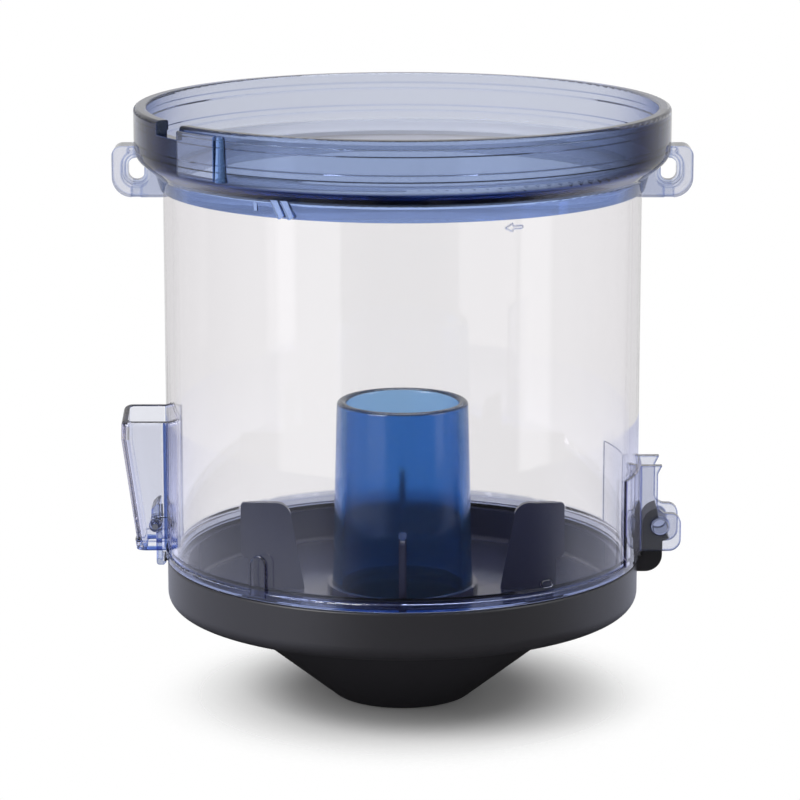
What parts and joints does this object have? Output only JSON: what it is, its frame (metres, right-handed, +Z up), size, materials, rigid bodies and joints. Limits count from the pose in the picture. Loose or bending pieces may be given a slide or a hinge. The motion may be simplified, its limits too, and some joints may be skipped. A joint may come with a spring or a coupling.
{
  "type": "cyclone dust bin",
  "caption": "Clear cylindrical cyclone dust bin with a tinted collar and side lugs, closed by a hinged dark base that carries a blue centre tube and dust vanes.",
  "frame": {"origin": "centre of the foot's flat underside, on the bin axis", "axes": "+Z up along the bin axis, +X towards the hinge, -Y towards the front of the bin"},
  "size_m": [0.1846, 0.1706, 0.193],
  "materials": {
    "clear_polycarbonate": "clear",
    "tinted_polycarbonate": "clear tinted",
    "blue_polycarbonate": "clear tinted",
    "dark_abs": "satin",
    "dark_gloss_abs": "gloss",
    "grey_acetal": "satin",
    "seal_rubber": "matte",
    "steel": "polished"
  },
  "bodies": {
    "bin": {"bin_cylinder": "clear_polycarbonate", "collar_ring": "tinted_polycarbonate", "pad_left": "seal_rubber", "pad_right": "seal_rubber", "hinge_pin": "tinted_polycarbonate", "catch_pin": "steel", "catch_spring": "steel"},
    "base": {"base_shell": "dark_abs", "base_dish": "dark_gloss_abs", "centre_tube": "blue_polycarbonate", "base_seal": "seal_rubber"},
    "catch": {"base_catch": "grey_acetal"}
  },
  "joints": [
    {"name": "base_hinge", "type": "hinge", "parent": "bin", "child": "base", "pos_m": [0.08305, 0, 0.0572], "axis": [0, -1, 0], "range_deg": [0, 95]},
    {"name": "catch_tilt", "type": "hinge", "parent": "bin", "child": "catch", "pos_m": [-0.0798, 0, 0.057], "axis": [0, 1, 0], "range_deg": [0, 14], "stiffness_Nm_per_rad": 0.03, "springref_deg": -8.59, "deforming": ["catch_spring"]}
  ]
}
